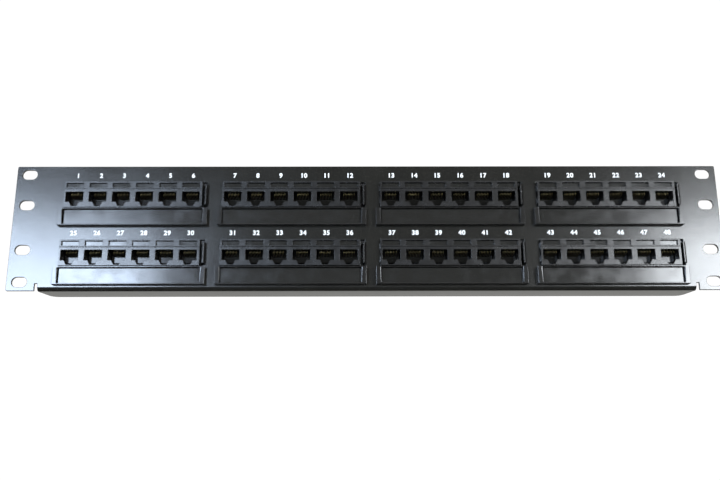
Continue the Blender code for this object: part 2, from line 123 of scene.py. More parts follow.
POST_X, POST_Z, POST_RADIUS = 0.0380, 0.0071, 0.0012  # posts that locate the circuit board
RIB_WIDTH, RIB_RISE = 0.0009, 0.0011
BRACKET_FRONT, BRACKET_BACK = 0.0096, 0.0136  # bracket that the latch arm is rooted in
BRACKET_RIGHT, BRACKET_HALF, BRACKET_WALL = 0.0552, 0.0109, 0.0010
HOUSING_EDGE = 0.00016        # radius on the housing's edges; the other pieces have theirs
ICON_EDGE = 0.00010

# Latch arm
ARM_THICK = 0.0012
HOOK_BACK = PLATE_FRONT - GAP
HOOK_THICK = 0.0006
TIP_WIDTH = 0.0008
GRIP_GROOVES, GRIP_DEPTH = 5, 0.0004
LATCH_EDGE = 0.00012

# Contact carrier and wires
WIRES = 8
WIRE_PITCH = 0.00102
WIRE_RADIUS = 0.00017
WIRE_TOP = 0.00200            # top of the wires, under the tongue
WIRE_NOSE = (0.0002, -0.0012)  # middles of the bends at the front, which alternate
WIRE_ROOT, WIRE_STRAIGHT = 0.0040, 0.0011  # start and end of the straight top, behind them
WIRE_BEND, WIRE_BEND_STEPS = 0.0010, 7
WIRE_TURN = 0.86              # of a half turn, in the bend
WIRE_ENTRY = (-0.0010, 0.0009)  # in Y and Z from the foot of a slot at the stop's front
WIRE_END = (0.0012, 0.0005)
STOP_FRONT = 0.0041           # wall that stops a plug
COMB_HALF, COMB_BOTTOM, COMB_DEPTH = 0.00028, -0.0012, 0.0016  # slots in it for the wires
CARRIER_EDGE = 0.00008

# Label holder
HOLDER_FLOOR = -0.0030
END_CAP = 0.0034
TOP_LIP, BOTTOM_LIP = 0.0006, 0.0008
HOLDER_EDGE = 0.00028
TAB_WIDTH, TAB_REACH, TAB_THICK = 0.0022, 0.0008, 0.0007  # tabs that keep the strip in
TAB_INSET, TAB_SET_BACK = 0.0035, 0.0002
PEG_X, PEG_HALF, PEG_HIGH = 0.0355, 0.0012, 0.0036  # pegs that snap into the plate
PEG_BARB, PEG_BARB_Y, PEG_TIP_Y = 0.0007, 0.0005, 0.0024
STRIP_CORNER, STRIP_EDGE = 0.0006, 0.00005
GATE_RADIUS, GATE_DEPTH = 0.0009, 0.00008  # the mark that its mould's gate leaves

# Circuit board
BOARD_CORNER, BOARD_EDGE = 0.0015, 0.0001
SOLDER_RADIUS, SOLDER_FLATNESS = 0.0007, 0.7

# Punch-down block
IDC_BASE_THICK = 0.0035
IDC_BASE_BACK = IDC_LOW.y + IDC_BASE_THICK
RAIL_Z, RAIL_HALF, RAIL_INSET = 0.0095, 0.0040, 0.0005
IDC_SLOTS = 24                # wires in one rail, which are 12 pairs
IDC_PITCH = 0.00381
IDC_SLOT_HALF = 0.00055
IDC_SLOT_DEPTH = 0.0085
IDC_CORNER, IDC_EDGE = 0.0010, 0.00012
TOOTH_DROP = 0.0016           # how much shorter every other tooth is
TOOTH_SLOPE = 0.0018          # length of a short tooth's sloping flank
TOOTH_REACH = 0.42 * IDC_PITCH  # from the middle of a slot to a tooth's crest
TINE_IN, TINE_LIP = 0.00038, 0.00010  # how far a tine reaches into its slot, and at its top
TINE_OUT = 0.00020            # how far it reaches into the slot's wall
TINE_SHOULDER, TINE_TOP = 0.0052, 0.0042  # how far in from the block's rear
TINE_HALF = 0.0002
BAND_INSET, BAND_WIDTH, BAND_THICK = 0.0006, 0.0024, 0.00015  # printed strips on the base

# Port numbers
NUMBER_RISE = 0.01455         # above the middle of the jacks
NUMBER_SHIFT = 0.0006
NUMBER_HEIGHT = 0.0032
CAPITAL_SHARE = 0.72          # a capital's share of the font's size
LETTER_SPACING = 1.10
INK_THICK, INK_SPREAD = 0.00003, 0.00016


# ---- Shapes -------------------------------------------------------------------------------------


def port_x(port):
    return (port - (PORTS - 1) / 2) * PORT_PITCH


def add_box(bm, low, high):
    size = [b - a for a, b in zip(low, high)]
    middle = [(a + b) / 2 for a, b in zip(low, high)]
    place = Matrix.Translation(middle) @ Matrix.Diagonal((*size, 1.0))
    bmesh.ops.create_cube(bm, size=1.0, matrix=place)


def add_prism(bm, outline, start, end, axis):
    """A solid from a flat outline, run from start to end along Y (outline in X, Z) or Z (in X, Y)."""
    if axis == "Y":
        base = [bm.verts.new((u, start, v)) for u, v in outline]
        run = (0.0, end - start, 0.0)
    else:
        base = [bm.verts.new((u, v, start)) for u, v in outline]
        run = (0.0, 0.0, end - start)
    face = bm.faces.new(base)
    made = bmesh.ops.extrude_face_region(bm, geom=[face])["geom"]
    top = [g for g in made if isinstance(g, bmesh.types.BMVert)]
    bmesh.ops.translate(bm, vec=run, verts=top)
    whole = dict.fromkeys(f for v in base + top for f in v.link_faces)  # each face once, in order
    bmesh.ops.recalc_face_normals(bm, faces=list(whole))


def add_cylinder(bm, centre, radius, depth):
    """A cylinder along Y about its centre."""
    place = Matrix.Translation(centre) @ Matrix.Rotation(math.pi / 2, 4, "X")
    bmesh.ops.create_cone(
        bm, cap_ends=True, segments=24, radius1=radius, radius2=radius, depth=depth, matrix=place
    )


def rounded_rectangle(low, high, radius, steps=4):
    """The outline of a rectangle with round corners, from its lowest and highest corner."""
    outline = []
    corners = ((high[0], high[1]), (low[0], high[1]), (low[0], low[1]), (high[0], low[1]))
    signs = ((-1, -1), (1, -1), (1, 1), (-1, 1))
    for i, (corner, sign) in enumerate(zip(corners, signs)):
        for j in range(steps + 1):
            angle = (i + j / steps) * math.pi / 2
            outline.append(
                (
                    corner[0] + sign[0] * radius + radius * math.cos(angle),
                    corner[1] + sign[1] * radius + radius * math.sin(angle),
                )
            )
    return outline


def obround(x, z, length, height, steps=12):
    """The outline of a slot with round ends."""
    radius = height / 2
    reach = (length - height) / 2
    right = [(i / steps - 0.5) * math.pi for i in range(steps + 1)]
    outline = [(x + reach + radius * math.cos(a), z + radius * math.sin(a)) for a in right]
    return outline + [(x - reach - radius * math.cos(a), z - radius * math.sin(a)) for a in right]


def to_mesh(bm, name):
    mesh = bpy.data.meshes.new(name)
    bm.to_mesh(mesh)
    bm.free()
    return mesh


def shaped(name, adds, cuts, edge, segments=2, sheet=0.0):
    """Join the shapes, cut the others away, round every sharp edge and return the mesh.

    With a sheet thickness, the first shape is an open surface that gets that thickness.
    """
    scene = bpy.context.scene.collection
    used = []

    def temporary(bm):
        obj = bpy.data.objects.new(name, to_mesh(bm, name))
        scene.objects.link(obj)
        used.append(obj)
        return obj

    base = temporary(adds[0])
    if sheet:
        thick = base.modifiers.new("sheet", "SOLIDIFY")
        thick.thickness = sheet
        thick.offset = -1.0
        thick.use_even_offset = True
    for operation, shapes in (("UNION", adds[1:]), ("DIFFERENCE", cuts)):
        for bm in shapes:
            step = base.modifiers.new(operation, "BOOLEAN")
            step.operation = operation
            step.solver = "EXACT"
            step.object = temporary(bm)
    weld = base.modifiers.new("weld", "WELD")
    weld.merge_threshold = WELD
    bevel = base.modifiers.new("edge", "BEVEL")
    bevel.width = edge
    bevel.segments = segments
    bevel.limit_method = "ANGLE"
    bevel.angle_limit = SHARP
    bevel.use_clamp_overlap = False
    bevel.harden_normals = True
    bevel.miter_outer = "MITER_ARC"
    base.data.shade_smooth()
    bpy.context.view_layer.update()
    graph = bpy.context.evaluated_depsgraph_get()
    mesh = bpy.data.meshes.new_from_object(
        base.evaluated_get(graph), preserve_all_data_layers=True, depsgraph=graph
    )
    mesh.name = name
    for obj in used:
        bpy.data.objects.remove(obj, do_unlink=True)
    return mesh


def from_boxes(corners):
    bm = bmesh.new()
    for low, high in corners:
        add_box(bm, low, high)
    return bm


def from_prisms(outlines, start, end, axis):
    bm = bmesh.new()
    for outline in outlines:
        add_prism(bm, outline, start, end, axis)
    return bm


def from_cylinders(centres, radius, depth):
    bm = bmesh.new()
    for centre in centres:
        add_cylinder(bm, centre, radius, depth)
    return bm


# ---- Materials ----------------------------------------------------------------------------------


def set_range(span, start, end, low, high):
    """Make a Map Range node map start..end to low..high."""
    for key, value in (("From Min", start), ("From Max", end), ("To Min", low), ("To Max", high)):
        span.inputs[key].default_value = value


class Surface:
    """A Principled material with a few ways to vary its colour, roughness and relief."""

    def __init__(self, name, colour, roughness, metallic=0.0, gloss=False):
        self.material = bpy.data.materials.new(name)
        self.material.use_nodes = True
        self.tree = self.material.node_tree
        self.shader = self.tree.nodes["Principled BSDF"]
        self.shader.inputs["Base Color"].default_value = (*colour, 1.0)
        self.shader.inputs["Roughness"].default_value = roughness
        self.shader.inputs["Metallic"].default_value = metallic
        self.shader.inputs["Specular IOR Level"].default_value = 1.0 if gloss else 0.5
        self.colour = colour
        self.shift = self.offset_coordinates()

    def node(self, kind, **settings):
        made = self.tree.nodes.new(kind)
        for key, value in settings.items():
            setattr(made, key, value)
        return made

    def link(self, output, target):
        self.tree.links.new(output, target)

    def offset_coordinates(self):
        """Object coordinates, moved by a different amount on each piece so that no two are alike."""
        coordinates = self.node("ShaderNodeTexCoord")
        info = self.node("ShaderNodeObjectInfo")
        add = self.node("ShaderNodeVectorMath", operation="ADD")
        self.link(coordinates.outputs["Object"], add.inputs[0])
        self.link(info.outputs["Random"], add.inputs[1])
        return add.outputs[0]

    def noise(self, scale, detail=3.0, stretch=(1.0, 1.0, 1.0)):
        mapping = self.node("ShaderNodeMapping")
        mapping.inputs["Scale"].default_value = stretch
        noise = self.node("ShaderNodeTexNoise")
        noise.inputs["Scale"].default_value = scale
        noise.inputs["Detail"].default_value = detail
        self.link(self.shift, mapping.inputs["Vector"])
        self.link(mapping.outputs[0], noise.inputs["Vector"])
        return noise.outputs["Fac"]

    def spread(self, value, low, high, start=0.3, end=0.7):
        """Map a texture value from start..end to low..high."""
        span = self.node("ShaderNodeMapRange")
        set_range(span, start, end, low, high)
        self.link(value, span.inputs["Value"])
        return span.outputs["Result"]

    def colour_between(self, value, first, second):
        mix = self.node("ShaderNodeMix", data_type="RGBA")
        mix.inputs["A"].default_value = (*first, 1.0)
        mix.inputs["B"].default_value = (*second, 1.0)
        self.link(value, mix.inputs["Factor"])
        return mix.outputs["Result"]

    def set_colour(self, output):
        self.link(output, self.shader.inputs["Base Color"])

    def set_roughness(self, output):
        self.link(output, self.shader.inputs["Roughness"])

    def relief(self, value, depth, base=None):
        """Bump of a real depth in metres."""
        bump = self.node("ShaderNodeBump")
        bump.inputs["Strength"].default_value = 1.0
        bump.inputs["Distance"].default_value = depth
        self.link(value, bump.inputs["Height"])
        if base is not None:
            self.link(base, bump.inputs["Normal"])
        return bump.outputs["Normal"]

    def set_normal(self, output):
        self.link(output, self.shader.inputs["Normal"])


def scaled(colour, factor):
    return tuple(min(1.0, c * factor) for c in colour)


def coated_steel():
    """Charcoal powder coat: fine orange peel, slight mottling and a polish that varies with handling."""
    coat = Surface("coated_steel", (0.0090, 0.0085, 0.0068), 0.18, gloss=True)
    mottle = coat.spread(coat.noise(60.0, 4.0), 0.0, 1.0)
    coat.set_colour(coat.colour_between(mottle, scaled(coat.colour, 0.86), scaled(coat.colour, 1.16)))
    coat.set_roughness(coat.spread(coat.noise(35.0, 5.0), 0.165, 0.20))
    peel = coat.relief(coat.noise(1400.0, 2.0), 0.000008)
    coat.set_normal(coat.relief(coat.noise(90.0, 2.0), 0.000022, peel))
    return coat.material


def moulded_plastic(name, colour, roughness, grain, gloss=True):
    """Injection-moulded plastic: faint flow marks, fine grain and uneven polish."""
    plastic = Surface(name, colour, roughness, gloss=gloss)
    flow = plastic.spread(plastic.noise(110.0, 3.0, (1.0, 1.0, 0.35)), 0.0, 1.0)
    plastic.set_colour(plastic.colour_between(flow, scaled(colour, 0.85), scaled(colour, 1.18)))
    plastic.set_roughness(
        plastic.spread(plastic.noise(160.0, 4.0), roughness * 0.88, roughness * 1.14)
    )
    plastic.set_normal(plastic.relief(plastic.noise(2600.0, 2.0), grain))
    return plastic.material


def strip_plastic():
    """Polished label strip with a soft waviness and a few smudges."""
    strip = Surface("strip_plastic", (0.0120, 0.0115, 0.0100), 0.20, gloss=True)
    smudge = strip.spread(strip.noise(120.0, 5.0), 0.14, 0.21, 0.42, 0.72)
    strip.set_roughness(smudge)
    dust = strip.spread(strip.noise(420.0, 4.0), 0.0, 0.25, 0.62, 0.80)
    strip.set_colour(strip.colour_between(dust, strip.colour, (0.09, 0.09, 0.09)))
    strip.set_normal(strip.relief(strip.noise(28.0, 1.0, (0.5, 1.0, 1.6)), 0.00006))
    return strip.material


def metal(name, colour, roughness, grain=0.000004):
    """Plated metal with fine drawn marks."""
    plating = Surface(name, colour, roughness, metallic=1.0)
    wear = plating.spread(plating.noise(900.0, 3.0), 0.0, 1.0)
    plating.set_colour(plating.colour_between(wear, scaled(colour, 0.88), scaled(colour, 1.06)))
    plating.set_roughness(plating.spread(plating.noise(700.0, 2.0), roughness * 0.8, roughness * 1.3))
    plating.set_normal(plating.relief(plating.noise(4000.0, 1.0), grain))
    return plating.material


def board_laminate():
    """Solder-masked laminate: tracks in relief under the mask and a glass weave."""
    board = Surface("board_laminate", (0.010, 0.085, 0.030), 0.34)
    tracks = board.node("ShaderNodeTexBrick", offset=0.5)
    tracks.inputs["Scale"].default_value = 260.0
    tracks.inputs["Mortar Size"].default_value = 0.018
    turned = board.node("ShaderNodeMapping")
    turned.inputs["Rotation"].default_value = (math.pi / 2, 0.0, 0.0)
    board.link(board.shift, turned.inputs["Vector"])
    board.link(turned.outputs[0], tracks.inputs["Vector"])
    track = tracks.outputs["Fac"]
    board.set_colour(board.colour_between(track, scaled(board.colour, 0.85), (0.022, 0.150, 0.055)))
    weave = board.relief(board.noise(1800.0, 2.0), 0.000008)
    board.set_normal(board.relief(track, 0.00004, weave))
    board.set_roughness(board.spread(board.noise(300.0), 0.28, 0.42))
    return board.material


def colour_bands():
    """The four pair colours of the wiring code, in turn along the strip."""
    stops = (
        (0.00, (0.030, 0.110, 0.420)),
        (0.25, (0.720, 0.210, 0.020)),
        (0.50, (0.030, 0.270, 0.070)),
        (0.75, (0.160, 0.070, 0.030)),
    )
    round_length = 2 * len(stops) * IDC_PITCH  # each pair has two wires
    round_shift = 8.0                          # whole rounds, so that no value is below zero
    bands = Surface("pair_colours", (0.5, 0.5, 0.5), 0.5)
    coordinates = bands.node("ShaderNodeTexCoord")
    split = bands.node("ShaderNodeSeparateXYZ")
    pair = bands.node("ShaderNodeMath", operation="MULTIPLY_ADD")
    pair.inputs[1].default_value = 1.0 / round_length
    pair.inputs[2].default_value = round_shift
    turn = bands.node("ShaderNodeMath", operation="FRACT")
    ramp = bands.node("ShaderNodeValToRGB")
    ramp.color_ramp.interpolation = "CONSTANT"
    elements = ramp.color_ramp.elements
    while len(elements) < len(stops):
        elements.new(1.0)
    for element, (position, colour) in zip(elements, stops):
        element.position = position
        element.color = (*colour, 1.0)
    bands.link(coordinates.outputs["Object"], split.inputs[0])
    bands.link(split.outputs["X"], pair.inputs[0])
    bands.link(pair.outputs[0], turn.inputs[0])
    bands.link(turn.outputs[0], ramp.inputs[0])
    bands.set_colour(ramp.outputs["Color"])
    bands.set_roughness(bands.spread(bands.noise(300.0), 0.42, 0.58))
    bands.set_normal(bands.relief(bands.noise(3000.0, 2.0), 0.000005))
    return bands.material


def printing_ink():
    ink = Surface("printing_ink", (0.86, 0.86, 0.84), 0.45)
    wear = ink.spread(ink.noise(500.0, 3.0), 0.0, 1.0, 0.35, 0.75)
    ink.set_colour(ink.colour_between(wear, (0.90, 0.90, 0.88), (0.76, 0.76, 0.74)))
    ink.set_roughness(ink.spread(ink.noise(900.0), 0.38, 0.55))
    return ink.material


# ---- Pieces -------------------------------------------------------------------------------------


def put(name, data, place, body, slot, material, *replaced):
    """Place a piece, give it its material and tie it to its CAD body."""
    if not data.materials:
        data.materials.append(material)
    obj = bpy.data.objects.new(name, data)
    bpy.context.scene.collection.objects.link(obj)
    obj.location = place
    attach(obj, body)
    if replaced:
        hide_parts(*replaced)
    return obj


def plate_skin():
    """The plate's front skin with its bent lip, as one open surface."""
    half, top = PLATE_HIGH.x, PLATE_HIGH.z
    ear = FLANGE_HALF + RELIEF_WIDTH
    columns = (-half, -ear, -FLANGE_HALF, FLANGE_HALF, ear, half)
    bm = bmesh.new()
    rows = [
        [bm.verts.new((x, PLATE_FRONT, z)) for x in columns] for z in (top, PLATE_LOW.z + RELIEF_HEIGHT)
    ]
    for i in range(len(columns) - 1):
        bm.faces.new((rows[1][i], rows[1][i + 1], rows[0][i + 1], rows[0][i]))

    def extrude(i, moves):
        """Extend the sheet from the lower edge of column i along a list of moves."""
        edge = bm.edges.get((rows[1][i], rows[1][i + 1]))
        for move in moves:
            out = bmesh.ops.extrude_edge_only(bm, edges=[edge])["geom"]
            edge = next(g for g in out if isinstance(g, bmesh.types.BMEdge))
            bmesh.ops.translate(bm, vec=move, verts=edge.verts)
        return edge

    for i in (0, len(columns) - 2):
        extrude(i, [(0, 0, -RELIEF_HEIGHT)])
    arc = [
        (BEND_RADIUS * (1 - math.cos(a)), BEND_RADIUS * (1 - math.sin(a)))
        for a in (i * math.pi / 2 / BEND_STEPS for i in range(BEND_STEPS + 1))
    ]
    moves = [(0, 0, BEND_RADIUS - RELIEF_HEIGHT)]
    moves += [(0, b[0] - a[0], b[1] - a[1]) for a, b in zip(arc, arc[1:])]
    moves += [(0, PLATE_HIGH.y - PLATE_FRONT - BEND_RADIUS, 0)]
    end = extrude(len(columns) // 2 - 1, moves)
    for v in end.verts:
        v.co.x = math.copysign(FLANGE_END_HALF, v.co.x)
    bmesh.ops.bevel(
        bm, geom=list(end.verts), affect="VERTICES", offset=FLANGE_CORNER, segments=10, profile=0.5
    )
    corners = [v for v in bm.verts if abs(v.co.x) > half - GAP and abs(v.co.z) > top - GAP]
    bmesh.ops.bevel(bm, geom=corners, affect="VERTICES", offset=PLATE_CORNER, segments=6, profile=0.5)
    bmesh.ops.recalc_face_normals(bm, faces=bm.faces)
    return bm


def holder_middle():
    return (HOLDER_LOW.x + HOLDER_HIGH.x) / 2, (HOLDER_LOW.z + HOLDER_HIGH.z) / 2


def make_plate(material):
    middles = [module_middle(n) for n in MODULES]
    front, back = PLATE_FRONT - CLEAR, CLEAR
    (left, bottom), (right, top) = WINDOW
    windows = [
        rounded_rectangle((m.x + left, m.z + bottom), (m.x + right, m.z + top), WINDOW_CORNER)
        for m in middles
    ]
    hx, hz = holder_middle()
    wide, high = PEG_HALF + GAP, PEG_HIGH / 2 + GAP
    pegs = [
        rounded_rectangle(
            (m.x + hx + side * PEG_X - wide, m.z + hz - high),
            (m.x + hx + side * PEG_X + wide, m.z + hz + high),
            GAP,
            steps=2,
        )
        for m in middles
        for side in (-1, 1)
    ]
    slots = [obround(side * SLOT_X, z, SLOT_LENGTH, SLOT_HEIGHT) for side in (-1, 1) for z in SLOT_Z]
    cuts = [from_prisms(outlines, front, back, "Y") for outlines in (windows, pegs, slots)]
    mesh = shaped("coated_plate", [plate_skin()], cuts, COAT_EDGE, segments=3, sheet=SHEET)
    put("coated_plate", mesh, (0, 0, 0), "panel", "coated_steel", material, "face_plate")


def keyway(x):
    """The outline of a jack: a rectangle with a stepped keyway below it."""
    right = [
        (JACK_HALF, JACK_TOP),
        (JACK_HALF, JACK_BOTTOM),
        (KEYWAY_TOP_HALF, JACK_BOTTOM),
        (KEYWAY_FOOT_HALF, KEYWAY_BOTTOM),
    ]
    return [(x + u, v) for u, v in right] + [(x - u, v) for u, v in reversed(right)]


def wire_x(wire):
    return (wire - (WIRES - 1) / 2) * WIRE_PITCH


def icon_outline(x, inset=0.0):
    """The outline of an icon's recess, or with an inset of the icon, with snap ridges half way up."""
    half, bottom, top = JACK_HALF - inset, ICON_BOTTOM + inset, ICON_TOP - inset
    middle = (bottom + top) / 2
    ridge = RIDGE + inset / 2
    right = [(half, bottom), (half, middle - ridge), (half - RIDGE, middle)]
    right += [(half, middle + ridge), (half, top)]
    return [(x + u, v) for u, v in right] + [(x - u, v) for u, v in reversed(right)]


def housing_mesh():
    block = from_boxes([((BLOCK_LEFT, FACE_Y, -BLOCK_HALF), (BLOCK_RIGHT, HOUSING_BACK, BLOCK_HALF))])
    rim = from_boxes([((HOUSING_LOW.x, GAP, -RIM_HALF), (RIM_RIGHT, GAP + RIM_THICK, RIM_HALF))])
    ears = from_boxes(
        [
            ((RIM_RIGHT - OVERLAP, GAP, low), (EAR_RIGHT, GAP + RIM_THICK, high))
            for low, high in ((-RIM_HALF, -EAR_FOOT), (EAR_FOOT, RIM_HALF))
        ]
    )
    lips = from_boxes(
        [
            ((BLOCK_LEFT - LIP_WIDTH, HOOK_BACK - LIP_THICK, z - LIP_HEIGHT / 2),
             (BLOCK_LEFT + OVERLAP, HOOK_BACK, z + LIP_HEIGHT / 2))
            for z in (-LIP_Z, LIP_Z)
        ]
    )
    bracket = from_boxes(
        [((BLOCK_RIGHT - OVERLAP, BRACKET_FRONT, -BRACKET_HALF),
          (BRACKET_RIGHT, BRACKET_BACK, BRACKET_HALF))]
    )
    ribs = from_boxes(
        [
            ((x - RIB_WIDTH / 2, RIM_THICK, -BLOCK_HALF - RIB_RISE),
             (x + RIB_WIDTH / 2, HOUSING_BACK - OVERLAP, BLOCK_HALF + RIB_RISE))
            for x in (port_x(p + 0.5) for p in range(PORTS - 1))
        ]
    )
    posts = from_cylinders(
        [(side * POST_X, HOUSING_BACK, POST_Z) for side in (-1, 1)],
        POST_RADIUS, 2 * (HOUSING_HIGH.y - HOUSING_BACK),
    )
    front, back = FACE_Y - CLEAR, POCKET_FRONT + OVERLAP
    jacks = from_prisms([keyway(port_x(p)) for p in range(PORTS)], front, back, "Y")
    ceilings = from_boxes(
        [
            ((port_x(p) - JACK_HALF, CEILING_FRONT, JACK_TOP - OVERLAP),
             (port_x(p) + JACK_HALF, back, CEILING_TOP))
            for p in range(PORTS)
        ]
    )
    icons = from_prisms([icon_outline(port_x(p)) for p in range(PORTS)], front, FACE_Y + ICON_DEPTH, "Y")
    seam = from_boxes(
        [((BLOCK_LEFT - CLEAR, front, SEAM_Z - SEAM_WIDTH / 2),
          (BLOCK_RIGHT + CLEAR, FACE_Y + SEAM_DEPTH, SEAM_Z + SEAM_WIDTH / 2))]
    )
    end = port_x(PORTS - 1) + JACK_HALF
    pocket = from_boxes([((-end, POCKET_FRONT, POCKET_BOTTOM), (end, HOUSING_BACK + CLEAR, POCKET_TOP))])
    root = from_boxes(
        [((ARM_LOW.x - GAP, BRACKET_FRONT - CLEAR, -BLOCK_HALF),
          (ARM_LOW.x + ARM_THICK + GAP, BRACKET_BACK - BRACKET_WALL, BLOCK_HALF))]
    )
    adds = [block, rim, ears, lips, bracket, ribs, posts]
    return shaped("jack_housing", adds, [jacks, ceilings, icons, pocket, root, seam], HOUSING_EDGE)


def icon_mesh():
    """The six blank icons of a module, snapped to the floors of their recesses."""
    floor = FACE_Y + ICON_DEPTH
    outlines = [icon_outline(port_x(p), ICON_INSET) for p in range(PORTS)]
    blanks = from_prisms(outlines, floor - ICON_THICK, floor - INK_THICK, "Y")
    return shaped("port_icons", [blanks], [], ICON_EDGE)


def latch_mesh():
    """Latch arm: a thin leaf with a hook, and grip grooves across its front end."""
    left, right = ARM_LOW.x, ARM_LOW.x + ARM_THICK
    leaf = [
        (left, ARM_HIGH.y),
        (left, ARM_LOW.y),
        (left + TIP_WIDTH, ARM_LOW.y),
        (ARM_HIGH.x, HOOK_BACK - HOOK_THICK),
        (ARM_HIGH.x, HOOK_BACK),
        (right, HOOK_BACK),
        (right, ARM_HIGH.y),
    ]
    arm = from_prisms([leaf], ARM_LOW.z, ARM_HIGH.z, "Z")
    pitch = (ARM_HIGH.z - ARM_LOW.z) / (GRIP_GROOVES + 1)
    grooves = from_boxes(
        [
            ((left + TIP_WIDTH / 2, ARM_LOW.y - CLEAR, z - GAP),
             (ARM_HIGH.x + CLEAR, ARM_LOW.y + GRIP_DEPTH, z + GAP))
            for z in (ARM_LOW.z + (i + 1) * pitch for i in range(GRIP_GROOVES))
        ]
    )
    return shaped("latch_leaf", [arm], [grooves], LATCH_EDGE)


def carrier_mesh():
    """Contact carrier: a tongue over each jack and a stop in it, slotted at the top for the wires."""
    bar = from_boxes([((CARRIER_LOW.x, POCKET_FRONT + GAP, CARRIER_LOW.z), CARRIER_HIGH)])
    bottom = JACK_TOP + GAP
    tongues = from_boxes(
        [
            ((port_x(p) - JACK_HALF + 2 * GAP, CARRIER_LOW.y, bottom),
             (port_x(p) + JACK_HALF - 2 * GAP, POCKET_FRONT + GAP + OVERLAP, CEILING_TOP - GAP))
            for p in range(PORTS)
        ]
    )
    stops = from_boxes(
        [
            ((port_x(p) - JACK_HALF + 2 * GAP, STOP_FRONT, JACK_BOTTOM + GAP),
             (port_x(p) + JACK_HALF - 2 * GAP, POCKET_FRONT + GAP + OVERLAP, bottom + OVERLAP))
            for p in range(PORTS)
        ]
    )
    combs = from_boxes(
        [
            ((port_x(p) + wire_x(w) - COMB_HALF, STOP_FRONT - OVERLAP, COMB_BOTTOM),
             (port_x(p) + wire_x(w) + COMB_HALF, STOP_FRONT + COMB_DEPTH, bottom))
            for p in range(PORTS)
            for w in range(WIRES)
        ]
    )
    return shaped("contact_carrier", [bar, tongues, stops], [combs], CARRIER_EDGE, segments=1)


def drawn_mesh(data):
    """The mesh that a curve or a text makes."""
    drawn = bpy.data.objects.new(data.name, data)
    bpy.context.scene.collection.objects.link(drawn)
    bpy.context.view_layer.update()
    mesh = bpy.data.meshes.new_from_object(drawn.evaluated_get(bpy.context.evaluated_depsgraph_get()))
    bpy.data.objects.remove(drawn, do_unlink=True)
    return mesh


def wire_route(nose):
    """A wire's points in Y and Z: forwards under its tongue, round its bend and back to its slot."""
    top = WIRE_TOP - WIRE_RADIUS
    route = [(nose + WIRE_ROOT, top), (nose + WIRE_STRAIGHT, top)]
    for i in range(1, WIRE_BEND_STEPS + 1):
        angle = math.pi * (0.5 + i / WIRE_BEND_STEPS * WIRE_TURN)
        route.append((nose + WIRE_BEND * math.cos(angle), top + WIRE_BEND * (math.sin(angle) - 1)))
    return route + [(STOP_FRONT + y, COMB_BOTTOM + z) for y, z in (WIRE_ENTRY, WIRE_END)]


def wire_mesh():
    """The 48 contact wires of a module: each bends back under its tongue and slopes into its slot."""
    curve = bpy.data.curves.new("contact_wires", "CURVE")
    curve.dimensions = "3D"
    curve.bevel_depth = WIRE_RADIUS
    curve.bevel_resolution = 2
    curve.use_fill_caps = True
    for port in range(PORTS):
        for wire in range(WIRES):
            route = wire_route(WIRE_NOSE[wire % 2])
            spline = curve.splines.new("POLY")
            spline.points.add(len(route) - 1)
            for point, (y, z) in zip(spline.points, route):
                point.co = (port_x(port) + wire_x(wire), y, z, 1.0)
            spline.use_smooth = True
    return drawn_mesh(curve)


def holder_mesh():
    back = PLATE_FRONT - GAP
    tray = from_boxes([(HOLDER_LOW, (HOLDER_HIGH.x, back, HOLDER_HIGH.z))])
    bottom, top = HOLDER_LOW.z + BOTTOM_LIP, HOLDER_HIGH.z - TOP_LIP
    left, right = HOLDER_LOW.x + END_CAP, HOLDER_HIGH.x - END_CAP
    recess = from_boxes([((left, HOLDER_LOW.y - CLEAR, bottom), (right, HOLDER_FLOOR, top))])
    first, last = left + TAB_INSET, right - TAB_INSET
    front = HOLDER_LOW.y + TAB_SET_BACK
    tabs = []
    for x in (first, (first + last) / 2, last):
        for edge, inward in ((top, -1), (bottom, 1)):
            low, high = sorted((edge - inward * TOP_LIP / 2, edge + inward * TAB_REACH))
            tabs.append(((x - TAB_WIDTH / 2, front, low), (x + TAB_WIDTH / 2, front + TAB_THICK, high)))
    hx, hz = holder_middle()
    barb = PEG_HALF + PEG_BARB
    side = [(PEG_HALF, back - OVERLAP), (PEG_HALF, GAP), (barb, PEG_BARB_Y), (PEG_HALF / 2, PEG_TIP_Y)]
    outline = side + [(-u, v) for u, v in reversed(side)]
    pegs = from_prisms(
        [[(hx + way * PEG_X + u, v) for u, v in outline] for way in (-1, 1)],
        hz - PEG_HIGH / 2, hz + PEG_HIGH / 2, "Z",
    )
    return shaped("label_holder", [tray, from_boxes(tabs), pegs], [recess], HOLDER_EDGE, segments=3)


def strip_mesh():
    """Label strip with round corners and the mark of its mould's gate."""
    outline = rounded_rectangle((STRIP_LOW.x, STRIP_LOW.z), (STRIP_HIGH.x, STRIP_HIGH.z), STRIP_CORNER)
    blank = from_prisms([outline], STRIP_LOW.y, STRIP_HIGH.y, "Y")
    middle = ((STRIP_LOW.x + STRIP_HIGH.x) / 2, STRIP_LOW.y, (STRIP_LOW.z + STRIP_HIGH.z) / 2)
    gate = from_cylinders([middle], GATE_RADIUS, 2 * GATE_DEPTH)
    return shaped("label_strip", [blank], [gate], STRIP_EDGE)


def board_mesh():
    outline = rounded_rectangle(
        (BOARD_LOW.x, BOARD_LOW.z), (BOARD_HIGH.x, BOARD_HIGH.z), BOARD_CORNER, steps=6
    )
    board = from_prisms([outline], BOARD_LOW.y, BOARD_HIGH.y, "Y")
    middle = (BOARD_LOW.y + BOARD_HIGH.y) / 2
    through = BOARD_HIGH.y - BOARD_LOW.y + 2 * CLEAR
    holes = from_cylinders(
        [(side * POST_X, middle, POST_Z) for side in (-1, 1)], POST_RADIUS + GAP, through
    )
    return shaped("circuit_board", [board], [holes], BOARD_EDGE, segments=1)


def idc_slot_x(slot):
    return (slot - (IDC_SLOTS - 1) / 2) * IDC_PITCH


